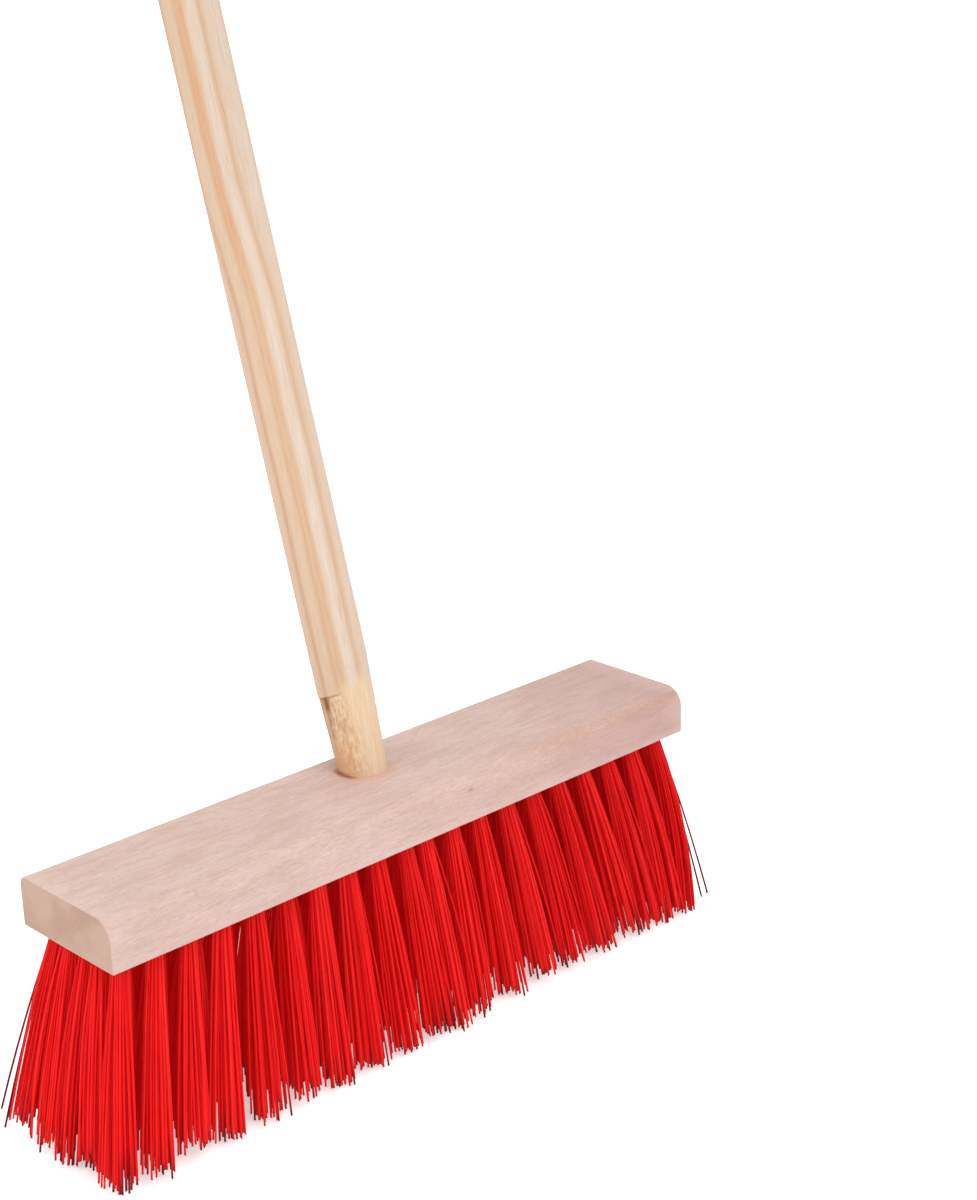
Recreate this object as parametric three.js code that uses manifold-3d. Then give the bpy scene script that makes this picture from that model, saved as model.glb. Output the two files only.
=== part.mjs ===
// A wooden push broom: a one-piece beech head block, a turned pine handle wedged into an angled,
// tapered socket, and five rows of red synthetic bristle tufts set in holes drilled from below.
// Frame: millimetres, +Z up, origin on the floor at the centre of the sweeping plane (the bristle
// tips), +X along the head. The handle leans back towards +Y; -Y is the front, -X the left.
import * as THREE from "three";
import { mergeVertices } from "three/addons/utils/BufferGeometryUtils.js";
import Module from "manifold-3d";

// ---- driving dimensions, mm ----
const GAP = 0.3; // clearance between a piece and the seat it is pressed into

const BLOCK_LENGTH = 365; // along X
const BLOCK_WIDTH = 68.5; // along Y
const BLOCK_HEIGHT = 24.5;
const BLOCK_BOTTOM = 100; // height above the floor, so also the bristles' drop
const BLOCK_TOP = BLOCK_BOTTOM + BLOCK_HEIGHT;
const FRONT_RADIUS = 10; // rounding of the long front top edge
const FRONT_STEPS = 7; // segments in that rounding
const BACK_EASE = 1.6; // easing of the long back top edge
const UNDER_EASE = 0.8; // easing of the two long lower edges

const HANDLE_RADIUS = 14;
const HANDLE_LENGTH = 1400; // tapered end to rounded end
const HANDLE_TILT = THREE.MathUtils.degToRad(15.5); // back from vertical
const HANDLE_Y = 12; // where the stick's axis crosses the block's top face
const HANDLE_SIDES = 32;
const SOCKET_DEPTH = 14; // along the stick's axis, below the block's top face
const SOCKET_RUNOUT = 20; // how far the socket's cutter goes on above the top face
const TAPER_LENGTH = 38.5; // exposed taper, from the top face up to the shoulder
const TAPER_TOP_RADIUS = 13.45; // just below the shoulder
const TAPER_MOUTH_RADIUS = 12; // where the stick enters the block

const TUFT_SIDES = 8;
const HOLE_HALF = 4; // half the width across flats of a bristle hole
const ROOT_HALF = HOLE_HALF - GAP; // the same, of a tuft's root
const HOLE_DEPTH = 9;
const HOLE_RUNOUT = 4; // how far a hole's cutter goes on below the block
const ROW_PITCH = 11.25; // between rows, at the roots
const TUFT_PITCH = 18.3; // along a row, at the roots
const MIDDLE_ROOT = 6; // first roots off centre in the outer rows
const STAGGER_ROOT = 15.15; // first roots off centre in the staggered rows 2 and 4
const END_ROOT = 172.5; // last roots off centre in the staggered rows
const LAST_PITCH = 9; // pitches from the first to the last tuft of half an outer row

const SPLAY_X = 1.12; // tip position over root position, along the head
const SPLAY_Y = 1.64; // the same, across the head
const TIP_HALF_X = 9.95; // half a tuft's width at its tip
const TIP_HALF_Y = 8.95; // half a tuft's depth at its tip
const GATHER = 0.93; // how far the tips of one inner strip close up, as a scale
// Tips of the two middle tufts of an outer row, narrower because they stand closer together
const MIDDLE_TIP = { x: 8.6, halfX: 8.3 };
// Tips at the two ends of the head, which flare out further
const END_TIP = { x: 189.5, halfX: 8.5, innerExtra: 1.4 };
// Tip of the centre tuft of row 2
const CENTRE_TIP = { y: -9.5, halfX: 8.7, halfY: 14 };

// ---- materials ----
const beech = () =>
  new THREE.MeshStandardMaterial({ color: 0xdcc0b2, roughness: 0.62, metalness: 0 });
const pine = () =>
  new THREE.MeshStandardMaterial({ color: 0xe6c6a2, roughness: 0.5, metalness: 0 });
const bristle = () =>
  new THREE.MeshStandardMaterial({ color: 0xd81c1c, roughness: 0.38, metalness: 0 });

// ---- solids and meshes ----
const wasm = await Module();
wasm.setup();

// Turns a closed geometry into a solid; the geometry loses all but its positions.
const toSolid = (geometry) => {
  for (const name of Object.keys(geometry.attributes)) {
    if (name !== "position") geometry.deleteAttribute(name);
  }
  const merged = mergeVertices(geometry, 1e-4);
  return new wasm.Manifold(
    new wasm.Mesh({
      numProp: 3,
      vertProperties: new Float32Array(merged.attributes.position.array),
      triVerts: new Uint32Array(merged.index.array),
    }),
  );
};

// Turns a solid into a flat-shaded geometry.
const toGeometry = (solid) => {
  const { vertProperties, triVerts } = solid.getMesh();
  const geometry = new THREE.BufferGeometry();
  geometry.setAttribute("position", new THREE.BufferAttribute(vertProperties, 3));
  geometry.setIndex(new THREE.BufferAttribute(triVerts, 1));
  const flat = geometry.toNonIndexed();
  flat.computeVertexNormals();
  return flat;
};

const addPiece = (parent, name, geometry, material) => {
  const mesh = new THREE.Mesh(geometry, material);
  mesh.name = name;
  parent.add(mesh);
};

// A closed stack of octagons, listed from the top down, with flats facing the row axes.
// Each ring has its centre x, y, z, its half width halfX and its half depth halfY.
const loft = (rings) => {
  const sides = TUFT_SIDES;
  const cornerScale = 1 / Math.cos(Math.PI / sides); // corner distance over flat distance
  const positions = rings.flatMap(({ x, y, z, halfX, halfY }) =>
    Array.from({ length: sides }, (_, i) => {
      const angle = ((i + 0.5) * 2 * Math.PI) / sides;
      return [
        x + halfX * Math.cos(angle) * cornerScale,
        y + halfY * Math.sin(angle) * cornerScale,
        z,
      ];
    }).flat(),
  );

  const faces = [];
  const lastRing = (rings.length - 1) * sides;
  for (let upper = 0; upper < lastRing; upper += sides) {
    const lower = upper + sides;
    for (let i = 0; i < sides; i++) {
      const next = (i + 1) % sides;
      faces.push(upper + i, lower + i, upper + next);
      faces.push(upper + next, lower + i, lower + next);
    }
  }
  for (let i = 1; i + 1 < sides; i++) {
    faces.push(0, i, i + 1); // top cap
    faces.push(lastRing, lastRing + i + 1, lastRing + i); // bottom cap
  }

  const geometry = new THREE.BufferGeometry();
  geometry.setAttribute("position", new THREE.Float32BufferAttribute(positions, 3));
  geometry.setIndex(faces);
  return toSolid(geometry);
};

// ---- one tuft and its hole ----
// A tuft leaves the block at x, y and ends in a tip on the floor at tipX, tipY.
const tuft = (x, y, changes = {}) => ({
  x,
  y,
  tipX: x * SPLAY_X,
  tipY: y * SPLAY_Y,
  halfX: TIP_HALF_X,
  halfY: TIP_HALF_Y,
  straight: false,
  ...changes,
});

// Centre of a tuft's hole at a height above the block's underside. The hole follows the tuft's
// splay, unless it is drilled straight up.
const holeCentre = ({ x, y, tipX, tipY, straight }, rise) => {
  const slope = straight ? 0 : rise / BLOCK_BOTTOM;
  return { x: x + (x - tipX) * slope, y: y + (y - tipY) * slope, z: BLOCK_BOTTOM + rise };
};

const tuftSolid = (item) => {
  const root = { halfX: ROOT_HALF, halfY: ROOT_HALF };
  return loft([
    { ...holeCentre(item, HOLE_DEPTH - GAP), ...root },
    { ...holeCentre(item, 0), ...root },
    { x: item.tipX, y: item.tipY, z: 0, halfX: item.halfX, halfY: item.halfY },
  ]);
};

const holeSolid = (item) => {
  const size = { halfX: HOLE_HALF, halfY: HOLE_HALF };
  return loft([
    { ...holeCentre(item, HOLE_DEPTH), ...size },
    { ...holeCentre(item, -HOLE_RUNOUT), ...size },
  ]);
};

// ---- tuft layout ----
const isEnd = (x) => Math.abs(x) > END_ROOT - TUFT_PITCH / 2;
const endTuft = (x, y, extra = 0) =>
  tuft(x, y, { tipX: Math.sign(x) * END_TIP.x, halfX: END_TIP.halfX + extra });

// The middle tufts are drilled straight, which in the back row leaves wood beside the socket.
const outerTuft = (x, y) => {
  if (isEnd(x)) return endTuft(x, y);
  if (Math.abs(x) > TUFT_PITCH / 2) return tuft(x, y);
  const tipX = Math.sign(x) * MIDDLE_TIP.x;
  return tuft(x, y, { tipX, halfX: MIDDLE_TIP.halfX, straight: true });
};

// Inner tufts side by side, whose filaments run together at the tips. The tips close up on the
// point midway between the first and last listed, so the order of roots matters.
const strip = (roots, y) => {
  const middle = ((roots[0] + roots.at(-1)) * SPLAY_X) / 2;
  return roots.map((x) =>
    isEnd(x)
      ? endTuft(x, y, END_TIP.innerExtra)
      : tuft(x, y, { tipX: middle + (x * SPLAY_X - middle) * GATHER }),
  );
};

// Roots on one side (-1 left, 1 right), from pitch number first to last, in rising x.
const rootsAt = (start, first, last, side) => {
  const roots = [];
  for (let k = first; k <= last; k++) roots.push(side * (start + TUFT_PITCH * k));
  return roots.sort((a, b) => a - b);
};

// Rows 1 and 5, at the front and back: one piece for each tuft.
const outerRow = (label, y) =>
  [-1, 1]
    .flatMap((side) => rootsAt(MIDDLE_ROOT, 0, LAST_PITCH, side))
    .map((x, i) => ({
      name: `${label}_tuft_${String(i + 1).padStart(2, "0")}`,
      tufts: [outerTuft(x, y)],
    }));

// Row 2: staggered, with one tuft on the centre line. That tuft spreads back over the space left
// free below the handle's socket, and its flat tip covers the origin.
const secondRow = () => {
  const y = -ROW_PITCH;
  const roots = (first, last, side) => rootsAt(STAGGER_ROOT, first, last, side);
  const centre = tuft(0, y, {
    tipY: CENTRE_TIP.y,
    halfX: CENTRE_TIP.halfX,
    halfY: CENTRE_TIP.halfY,
  });
  return [
    { name: "left_end", tufts: strip([-END_ROOT, ...roots(5, 8, -1)], y) },
    { name: "left", tufts: strip(roots(1, 4, -1), y) },
    { name: "middle", tufts: [tuft(-STAGGER_ROOT, y), centre, tuft(STAGGER_ROOT, y)] },
    { name: "right", tufts: strip(roots(1, 4, 1), y) },
    { name: "right_end", tufts: strip([...roots(5, 8, 1), END_ROOT], y) },
  ].map(({ name, tufts }) => ({ name: `inner_row_2_${name}`, tufts }));
};

// Rows 3 and 4, on one side: no tufts below the handle's socket. The end root of row 4 is listed
// last on both sides, so on the left the tips close up further out than on the right.
const thirdAndFourthRows = (side, label) =>
  ["inner", "middle", "end"].flatMap((place, i) => {
    const first = 3 * i;
    const last = first + 2;
    const third = rootsAt(MIDDLE_ROOT + TUFT_PITCH, first, last, side);
    const fourth = rootsAt(STAGGER_ROOT, first, last, side);
    if (place === "end") fourth.push(side * END_ROOT);
    return [
      { name: `inner_row_3_${label}_${place}`, tufts: strip(third, 0) },
      { name: `inner_row_4_${label}_${place}`, tufts: strip(fourth, ROW_PITCH) },
    ];
  });

const bristlePieces = [
  ...outerRow("front", -2 * ROW_PITCH),
  ...outerRow("back", 2 * ROW_PITCH),
  ...secondRow(),
  ...thirdAndFourthRows(-1, "left"),
  ...thirdAndFourthRows(1, "right"),
];

// ---- handle and socket ----
// Profiles are lists of [distance above the block's top face along the axis, radius].
const lathe = (profile) =>
  new THREE.LatheGeometry(
    profile.map(([distance, radius]) => new THREE.Vector2(radius, distance)),
    HANDLE_SIDES,
  );

// Radius of the taper, at or below the shoulder
const taperRadius = (distance) =>
  TAPER_MOUTH_RADIUS + ((TAPER_TOP_RADIUS - TAPER_MOUTH_RADIUS) / TAPER_LENGTH) * distance;

const handleGeometry = () => {
  const end = HANDLE_LENGTH - SOCKET_DEPTH;
  return lathe([
    [-SOCKET_DEPTH, 0],
    [-SOCKET_DEPTH, taperRadius(-SOCKET_DEPTH)],
    [TAPER_LENGTH, TAPER_TOP_RADIUS],
    // shoulder
    [TAPER_LENGTH + 1, HANDLE_RADIUS - 0.15],
    [TAPER_LENGTH + 18, HANDLE_RADIUS],
    // rounded end
    [end - 10, HANDLE_RADIUS],
    [end - 5.5, HANDLE_RADIUS - 1.3],
    [end - 2, HANDLE_RADIUS - 4.6],
    [end - 0.4, HANDLE_RADIUS - 9],
    [end, 0],
  ]);
};

// The lathe's axis is its local +Y; this frame turns it to the tilted axis.
const handleFrame = () => {
  const frame = new THREE.Group();
  frame.position.set(0, HANDLE_Y, BLOCK_TOP);
  frame.rotation.x = Math.PI / 2 - HANDLE_TILT;
  frame.updateMatrix();
  return frame;
};

// The taper's own cone, wider by the gap and run out through the top face.
const socketSolid = (frame) => {
  const cone = lathe([
    [-SOCKET_DEPTH - GAP, 0],
    [-SOCKET_DEPTH - GAP, taperRadius(-SOCKET_DEPTH) + GAP],
    [SOCKET_RUNOUT, taperRadius(SOCKET_RUNOUT) + GAP],
    [SOCKET_RUNOUT, 0],
  ]);
  return toSolid(cone.applyMatrix4(frame.matrix));
};

// ---- head block ----
// Section across the block: shape x is Y, shape y is Z.
const blockSection = () => {
  const back = BLOCK_WIDTH / 2;
  const front = -back;
  const section = new THREE.Shape();
  section.moveTo(front, BLOCK_BOTTOM + UNDER_EASE);
  section.lineTo(front + UNDER_EASE, BLOCK_BOTTOM);
  section.lineTo(back - UNDER_EASE, BLOCK_BOTTOM);
  section.lineTo(back, BLOCK_BOTTOM + UNDER_EASE);
  section.lineTo(back, BLOCK_TOP - BACK_EASE);
  section.lineTo(back - BACK_EASE, BLOCK_TOP);
  for (let i = 0; i <= FRONT_STEPS; i++) {
    const angle = (Math.PI / 2) * (1 + i / FRONT_STEPS);
    section.lineTo(
      front + FRONT_RADIUS * (1 + Math.cos(angle)),
      BLOCK_TOP - FRONT_RADIUS * (1 - Math.sin(angle)),
    );
  }
  section.closePath();
  return section;
};

const blockSolid = (frame) => {
  const options = { depth: BLOCK_LENGTH, bevelEnabled: false, steps: 1 };
  const blank = new THREE.ExtrudeGeometry(blockSection(), options);
  // Section x to Y, section y to Z, extrusion to X
  const axes = [
    new THREE.Vector3(0, 1, 0),
    new THREE.Vector3(0, 0, 1),
    new THREE.Vector3(1, 0, 0),
  ];
  blank.applyMatrix4(new THREE.Matrix4().makeBasis(...axes));
  blank.translate(-BLOCK_LENGTH / 2, 0, 0);

  return bristlePieces
    .flatMap(({ tufts }) => tufts)
    .reduce(
      (block, item) => block.subtract(holeSolid(item)),
      toSolid(blank).subtract(socketSolid(frame)),
    );
};

// ---- assembly ----
const broom = new THREE.Group();
const frame = handleFrame();
broom.add(frame);
addPiece(frame, "handle", handleGeometry(), pine());
addPiece(broom, "head_block", toGeometry(blockSolid(frame)), beech());
for (const { name, tufts } of bristlePieces) {
  const body = tufts.map(tuftSolid).reduce((joined, next) => joined.add(next));
  addPiece(broom, name, toGeometry(body), bristle());
}

export default broom;
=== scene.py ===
"""A broom head: a beech block with five rows of red bristle tufts and a leaning pine stick.

The block lies along X. Its front faces -Y, "left" is -X, and Z is up, with the bristle
tips near z = 0. The frame is in metres; names that end in _MM, the tuft layout and all
numbers in the materials are in millimetres.
"""
import math
from types import SimpleNamespace
import bpy
import bmesh
import numpy as np
from mathutils import Matrix, Vector


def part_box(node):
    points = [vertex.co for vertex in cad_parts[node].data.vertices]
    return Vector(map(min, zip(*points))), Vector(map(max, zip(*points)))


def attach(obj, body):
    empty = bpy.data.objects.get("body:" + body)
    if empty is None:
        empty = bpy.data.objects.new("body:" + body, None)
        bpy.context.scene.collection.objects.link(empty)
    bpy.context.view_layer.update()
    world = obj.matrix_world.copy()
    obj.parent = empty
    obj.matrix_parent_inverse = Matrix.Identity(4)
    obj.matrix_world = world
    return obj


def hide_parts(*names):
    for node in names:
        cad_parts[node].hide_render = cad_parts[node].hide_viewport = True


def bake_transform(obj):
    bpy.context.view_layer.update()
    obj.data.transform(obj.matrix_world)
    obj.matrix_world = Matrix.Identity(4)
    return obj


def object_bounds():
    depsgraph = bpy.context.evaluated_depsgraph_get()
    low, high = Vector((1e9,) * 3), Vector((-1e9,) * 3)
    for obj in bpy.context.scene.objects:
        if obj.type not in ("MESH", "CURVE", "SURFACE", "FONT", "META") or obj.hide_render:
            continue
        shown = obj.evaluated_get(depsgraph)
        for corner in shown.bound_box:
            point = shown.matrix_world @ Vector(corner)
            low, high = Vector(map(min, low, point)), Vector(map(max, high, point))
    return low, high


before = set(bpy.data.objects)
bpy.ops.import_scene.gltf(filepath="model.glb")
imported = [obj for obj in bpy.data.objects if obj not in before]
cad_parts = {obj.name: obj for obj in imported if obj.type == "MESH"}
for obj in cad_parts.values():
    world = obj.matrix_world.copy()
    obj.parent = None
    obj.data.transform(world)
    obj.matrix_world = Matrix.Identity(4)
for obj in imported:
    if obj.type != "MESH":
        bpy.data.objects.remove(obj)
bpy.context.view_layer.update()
MM = 0.001

# ---------------------------------------------------------------- main sizes
# head block, as the frame holds it
block_lo, block_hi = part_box("head_block")
UNDER = block_lo.z                # the block's underside
TOP = block_hi.z
UNDER_MM = UNDER / MM
TOP_MM = TOP / MM
HALF_L_MM = (block_hi.x - block_lo.x) / 2 / MM
HALF_W_MM = (block_hi.y - block_lo.y) / 2 / MM
FRONT_R_MM = 10.0                 # rounding of the front top edge
BACK_R_MM = 3.8                   # rounding of the back top edge
LOWER_R_MM = 0.8                  # rounding of both lower edges
END_EASE_MM = 0.7                 # rounding round the end faces

# stick: it leans towards +Y as it rises
TILT = math.radians(15.5)
STICK_Y_MM = 12.0
STICK_FOOT = Vector((0.0, STICK_Y_MM * MM, TOP))
STICK_AXIS = Vector((0.0, math.sin(TILT), math.cos(TILT)))
STICK_BACK = Vector((0.0, math.cos(TILT), -math.sin(TILT)))
SOCKET = 14 * MM                  # depth of the stick in the block, along its axis
STICK_END = 1.400 - SOCKET
STICK_R = 14.0 * MM
CAP_R = 10 * MM                   # rounding of the stick's top end
TAPER_L = 38.5 * MM
TAPER_TOP_R = 13.45 * MM
MOUTH_R = 12.0 * MM
TAPER_SLOPE = (TAPER_TOP_R - MOUTH_R) / TAPER_L

# sides of the stick, as angles round its axis: 0 is +X, 90 degrees is the back
TURN_SIDE = math.radians(136.5)   # the taper is offset towards this side
TURN_OFF = 0.40 * MM
SHOULDER_SIDE = math.radians(158)  # the taper ends in a small shoulder here
TORN_SIDE = math.radians(190)      # the taper's grain is torn here


# ---------------------------------------------------------------- node material helpers
def srgb(*channels):
    """An sRGB colour, 0-255, as linear values."""
    values = [channel / 255.0 for channel in channels]
    return tuple(v / 12.92 if v <= 0.04045 else ((v + 0.055) / 1.055) ** 2.4 for v in values)


class Mat:
    """A node material. Most methods add nodes and return an output socket."""

    def __init__(self, name):
        self.material = bpy.data.materials.new(name)
        self.material.use_nodes = True
        self.tree = self.material.node_tree
        self.tree.nodes.clear()
        self.out = self.node("ShaderNodeOutputMaterial")
        self.bsdf = self.node("ShaderNodeBsdfPrincipled")
        self.put(self.out.inputs["Surface"], self.bsdf.outputs["BSDF"])

    def node(self, kind, **properties):
        node = self.tree.nodes.new(kind)
        for key, value in properties.items():
            setattr(node, key, value)
        return node

    def put(self, socket, value):
        """Link a socket to a socket, or set its value."""
        if isinstance(value, bpy.types.NodeSocket):
            self.tree.links.new(value, socket)
        else:
            socket.default_value = value

    def attribute(self, name, output="Fac"):
        return self.node("ShaderNodeAttribute", attribute_name=name).outputs[output]

    def xyz(self, vector):
        node = self.node("ShaderNodeSeparateXYZ")
        self.put(node.inputs[0], vector)
        return node.outputs[0], node.outputs[1], node.outputs[2]

    def combine(self, *parts):
        node = self.node("ShaderNodeCombineXYZ")
        for socket, part in zip(node.inputs, parts):
            self.put(socket, part)
        return node.outputs[0]

    # arithmetic
    def math(self, operation, *operands):
        node = self.node("ShaderNodeMath", operation=operation)
        for socket, operand in zip(node.inputs, operands):
            self.put(socket, operand)
        return node.outputs[0]

    def add(self, a, b):
        return self.math("ADD", a, b)

    def sub(self, a, b):
        return self.math("SUBTRACT", a, b)

    def mul(self, first, *others):
        for other in others:
            first = self.math("MULTIPLY", first, other)
        return first

    def apart(self, value, centre):
        return self.math("ABSOLUTE", self.sub(value, centre))

    def hypot(self, a, b):
        return self.math("SQRT", self.add(self.mul(a, a), self.mul(b, b)))

    def weighted(self, *terms, base=None):
        """base plus each (value, weight) product."""
        total = base
        for value, weight in terms:
            term = self.mul(value, weight)
            total = term if total is None else self.add(total, term)
        return total

    def remap(self, value, over, to, interpolation):
        node = self.node("ShaderNodeMapRange", clamp=True, interpolation_type=interpolation)
        self.put(node.inputs["Value"], value)
        for key, limit in zip(("From Min", "From Max", "To Min", "To Max"), (*over, *to)):
            node.inputs[key].default_value = limit
        return node.outputs["Result"]

    def line(self, value, over, to=(0.0, 1.0)):
        """Maps the range over to the range to, straight and clamped."""
        return self.remap(value, over, to, "LINEAR")

    def ease(self, value, over, to=(0.0, 1.0)):
        """Like line, with soft ends."""
        return self.remap(value, over, to, "SMOOTHSTEP")

    # textures
    def noise(self, vector, freq=None, shift=(0, 0, 0), detail=3.0, rough=0.5):
        """Noise; freq is how fast it varies along each axis."""
        if freq is not None:
            mapping = self.node("ShaderNodeMapping")
            self.put(mapping.inputs["Vector"], vector)
            mapping.inputs["Scale"].default_value = freq
            mapping.inputs["Location"].default_value = shift
            vector = mapping.outputs["Vector"]
        node = self.node("ShaderNodeTexNoise")
        self.put(node.inputs["Vector"], vector)
        node.inputs["Scale"].default_value = 1.0
        node.inputs["Detail"].default_value = detail
        node.inputs["Roughness"].default_value = rough
        return node.outputs["Fac"]

    def wobble(self, noise, size):
        """Noise centred on zero."""
        return self.mul(self.sub(noise, 0.5), size)

    # colours
    def ramp(self, factor, stops):
        node = self.node("ShaderNodeValToRGB")
        elements = node.color_ramp.elements
        while len(elements) > 1:
            elements.remove(elements[-1])
        elements[0].position = stops[0][0]
        elements[0].color = (*stops[0][1], 1.0)
        for position, colour in stops[1:]:
            element = elements.new(position)
            element.color = (*colour, 1.0)
        self.put(node.inputs["Fac"], factor)
        return node.outputs["Color"]

    def mix(self, factor, a, b, blend="MIX"):
        node = self.node("ShaderNodeMix", data_type="RGBA", blend_type=blend, clamp_factor=True)
        self.put(node.inputs[0], factor)
        for socket, colour in ((node.inputs[6], a), (node.inputs[7], b)):
            self.put(socket, (*colour, 1.0) if isinstance(colour, tuple) else colour)
        return node.outputs[2]

    def tint(self, colour, target, mask, amount=None):
        """colour moved towards target where mask is high."""
        if amount is not None:
            mask = self.mul(mask, amount)
        return self.mix(mask, colour, target)

    def scaled(self, colour, factors, mask=None):
        """colour with each channel multiplied, everywhere or where mask is high."""
        product = self.mix(1.0, colour, factors, "MULTIPLY")
        return product if mask is None else self.mix(mask, colour, product)

    # surface
    def bump(self, height, distance, strength):
        """distance is in metres."""
        node = self.node("ShaderNodeBump")
        node.inputs["Strength"].default_value = strength
        node.inputs["Distance"].default_value = distance
        self.put(node.inputs["Height"], height)
        return node.outputs["Normal"]

    def surface(self, colour, roughness, specular, normal=None):
        self.put(self.bsdf.inputs["Base Color"], colour)
        self.put(self.bsdf.inputs["Roughness"], roughness)
        self.put(self.bsdf.inputs["Specular IOR Level"], specular)
        if normal is not None:
            self.put(self.bsdf.inputs["Normal"], normal)

    def glow(self, colour, strength):
        self.put(self.bsdf.inputs["Emission Color"], colour)
        self.put(self.bsdf.inputs["Emission Strength"], strength)

    def mixed_surface(self, factor, shader):
        """Mixes a second shader over the Principled one."""
        node = self.node("ShaderNodeMixShader")
        self.put(node.inputs[0], factor)
        self.put(node.inputs[1], self.bsdf.outputs["BSDF"])
        self.put(node.inputs[2], shader.outputs["BSDF"])
        self.put(self.out.inputs["Surface"], node.outputs[0])


# ---------------------------------------------------------------- beech, for the head block
PITH_Y_MM, PITH_Z_MM = 34.0, 52.0    # centre of the growth rings
RING_SKEW = 0.035                    # sideways drift of the rings along the block
RING_GAP_MM = 3.4
KNOT_X_MM, KNOT_BELOW_TOP_MM = 28.4, 7.6
KNOT_HALF_L_MM, KNOT_HALF_H_MM = 2.3, 1.1
STREAK_ANGLE = 0.72                  # radians up round the front rounding
WEDGE_ABOVE_UNDER_MM = 12.0
WEDGE_SLOPE_Y, WEDGE_SLOPE_Z = 0.62, 1.0
SQUASH_Y = 0.9636                    # narrows the slanted mouth to a circle across the stick
MOUTH_MARK_R_MM = 12.2                    # where the painted shadow and the halo round the mouth start


def beech_rings(m, rest, x, y, z):
    """Phase within a growth ring, and distance from and angle about the pith."""
    wander_long = m.noise(rest, freq=(0.006, 0.012, 0.012), detail=2.0)
    wander_short = m.noise(rest, freq=(0.02, 0.05, 0.05))
    from_y = m.sub(m.add(y, m.mul(x, RING_SKEW)), PITH_Y_MM)
    from_z = m.sub(z, PITH_Z_MM)
    # both wanders are in mm
    distance = m.weighted((wander_long, 26.0), (wander_short, 3.0), base=m.hypot(from_y, from_z))
    ring = m.math("FRACT", m.math("DIVIDE", distance, RING_GAP_MM))
    return ring, distance, m.math("ARCTAN2", from_z, from_y)


def beech_long_grain(m, rest, ring, fibre, fibre_fine, fleck):
    """Colour of the faces along the grain."""
    ring_soft = m.ease(m.apart(ring, 0.5), over=(0.0, 0.5))
    ring_line = m.ease(ring, over=(0.80, 1.0))
    pale = m.noise(rest, freq=(0.16, 0.85, 0.85), shift=(17.0, 4.0, 9.0), rough=0.6)
    fleck_pale = m.ease(pale, over=(0.52, 0.68))
    mottle = m.noise(rest, freq=(0.010, 0.05, 0.05), shift=(5, 2, 1), detail=2.0)
    mottle_pink = m.noise(rest, freq=(0.03, 0.035, 0.035), shift=(1, 9, 4), detail=2.0)
    cloud = m.noise(rest, freq=(0.035, 0.16, 0.16), shift=(8, 1, 2), rough=0.55)
    speck = m.noise(rest, freq=(0.30, 0.62, 0.62), shift=(11.0, 3.0, 21.0), rough=0.6)

    col = m.ramp(mottle, [
        (0.30, srgb(234, 208, 197)), (0.52, srgb(230, 202, 190)), (0.72, srgb(225, 193, 180)),
    ])
    col = m.tint(col, srgb(223, 188, 180), m.line(mottle_pink, over=(0.42, 0.66), to=(0.0, 0.60)))
    col = m.tint(col, srgb(206, 178, 158), m.line(cloud, over=(0.44, 0.66), to=(0.0, 0.52)))
    col = m.tint(col, srgb(236, 206, 198), m.line(cloud, over=(0.46, 0.30), to=(0.0, 0.40)))
    col = m.tint(col, srgb(206, 168, 150), mask=ring_line, amount=0.34)
    col = m.tint(col, srgb(238, 214, 204), mask=ring_soft, amount=0.10)
    col = m.tint(col, srgb(202, 165, 148), m.line(fibre, over=(0.42, 0.66), to=(0.0, 0.44)))
    col = m.tint(col, srgb(192, 152, 138), m.line(fibre_fine, over=(0.46, 0.70), to=(0.0, 0.34)))
    col = m.tint(col, srgb(186, 142, 122), mask=fleck, amount=0.40)
    col = m.tint(col, srgb(244, 224, 213), mask=fleck_pale, amount=0.20)
    return m.tint(col, srgb(204, 172, 140), m.ease(speck, over=(0.56, 0.70), to=(0.0, 0.34)))


def beech_knot(m, col, rest, x, y, z):
    """One small knot with a halo, on the front face."""
    along = m.math("DIVIDE", m.sub(x, KNOT_X_MM), KNOT_HALF_L_MM)
    up = m.math("DIVIDE", m.sub(z, TOP_MM - KNOT_BELOW_TOP_MM), KNOT_HALF_H_MM)
    distance = m.math("SQRT", m.add(m.math("POWER", along, 2.0), m.math("POWER", up, 2.0)))
    front_only = m.line(y, over=(-33.6, -30.0), to=(1.0, 0.0))
    ragged = m.noise(rest, freq=(1.2, 1.2, 1.2), detail=2.0)
    outline = m.weighted((ragged, 0.9), base=distance)
    knot = m.mul(m.ease(outline, over=(0.6, 1.7), to=(1.0, 0.0)), front_only)
    col = m.tint(col, srgb(150, 104, 88), mask=knot, amount=0.55)
    halo = m.mul(m.ease(distance, over=(1.2, 7.0), to=(1.0, 0.0)), front_only)
    return m.tint(col, srgb(196, 150, 136), mask=halo, amount=0.16)


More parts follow.
